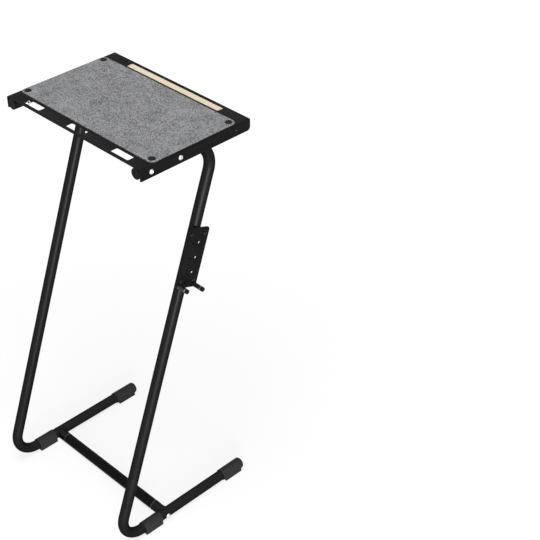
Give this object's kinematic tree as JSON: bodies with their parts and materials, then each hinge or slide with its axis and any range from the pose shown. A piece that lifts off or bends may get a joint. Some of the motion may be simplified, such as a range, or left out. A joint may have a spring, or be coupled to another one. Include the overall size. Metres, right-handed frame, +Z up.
{
  "type": "bike trainer desk",
  "caption": "Stand-up desk for an indoor bike trainer: folded sheet top with felt mat, wooden device rest and strap slots on two Z-bent tube frames joined by a crossbar.",
  "frame": {"origin": "on the floor, midway between the two frames and midway along the four soles", "axes": "+Z up; +X along the tabletop, towards the side with the accessory plate; +Y towards the rider"},
  "size_m": [0.5389, 0.476, 1.1164],
  "materials": {
    "coated_tube": "black powder coat, satin, fine grain",
    "coated_sheet": "black powder coat, matt, fine grain",
    "plastic_plug": "moulded, matt",
    "maple": "oiled, fine grain along the bar",
    "zinc_screw": "zinc plated",
    "felt": "mottled grey felt",
    "stud": "moulded, matt",
    "bright_bolt": "bright, turned",
    "spacer": "zinc plated",
    "black_screw": "black oxide",
    "rubber_foot": "moulded, matt",
    "peg": "black, satin",
    "peg_cap": "moulded, matt"
  },
  "bodies": {
    "root": {"frame_left": "coated_tube", "frame_right": "coated_tube", "stub_left": "coated_tube", "stub_right": "coated_tube", "crossbar": "coated_tube", "top_bar_plug_left": "plastic_plug", "top_bar_plug_right": "plastic_plug", "tabletop": "coated_sheet", "accessory_plate": "coated_sheet", "plate_ears": "coated_sheet", "wood_bar": "maple", "bar_screw_left": "zinc_screw", "bar_screw_right": "zinc_screw", "felt_mat": "felt", "mat_studs": "stud", "flange_bolts_left": "bright_bolt", "flange_bolts_right": "bright_bolt", "flange_nuts_left": "bright_bolt", "flange_nuts_right": "bright_bolt", "flange_washers_left": "bright_bolt", "flange_washers_right": "bright_bolt", "crossbar_bolt_left": "bright_bolt", "crossbar_bolt_right": "bright_bolt", "crossbar_ring_left": "bright_bolt", "crossbar_ring_right": "bright_bolt", "peg_rings": "bright_bolt", "flange_spacers_left": "spacer", "flange_spacers_right": "spacer", "plate_screws": "black_screw", "heel_foot_left": "rubber_foot", "heel_foot_right": "rubber_foot", "toe_foot_left": "rubber_foot", "toe_foot_right": "rubber_foot", "peg_front": "peg", "peg_rear": "peg", "peg_caps": "peg_cap"}
  },
  "joints": []
}
